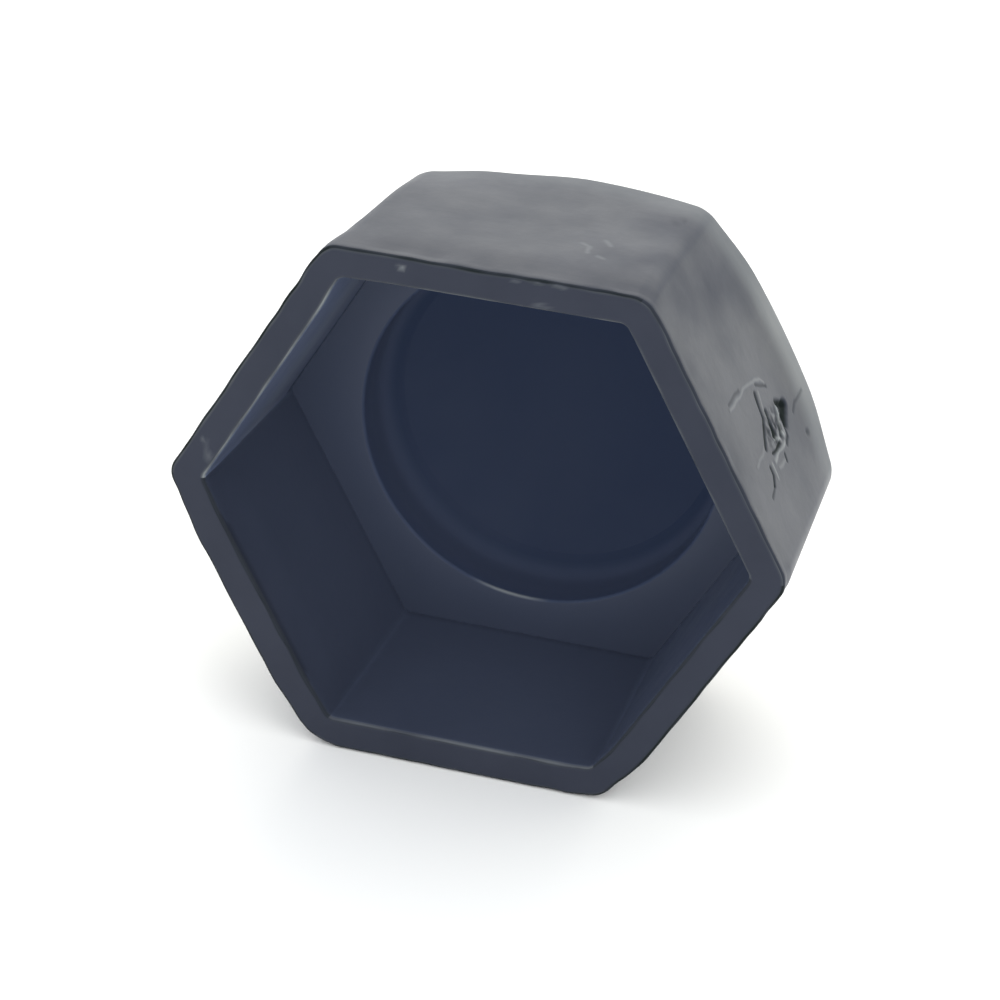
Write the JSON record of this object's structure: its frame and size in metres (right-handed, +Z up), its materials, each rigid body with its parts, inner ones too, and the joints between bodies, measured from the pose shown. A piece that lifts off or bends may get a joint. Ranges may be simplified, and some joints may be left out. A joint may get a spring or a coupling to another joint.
{
  "type": "wheel nut cap",
  "caption": "Push-on plastic cover cap for a wheel nut: tapered hexagonal skirt and socket, a shoulder with a round stud recess behind it, and a domed closed end.",
  "frame": {"origin": "on the surface that the cap lies on, under the middle of its bounding box", "axes": "+Z up from the flat that the cap lies on, +Y from the open mouth towards the domed end, +X across the cap; the cap's own axis is tipped 2.8 degrees in the YZ plane because its flats have draft"},
  "size_m": [0.025, 0.0154, 0.0219],
  "materials": {
    "cap_plastic": "satin near-black moulded plastic with light handling marks"
  },
  "bodies": {
    "root": {"nut_cap": "cap_plastic"}
  },
  "joints": []
}
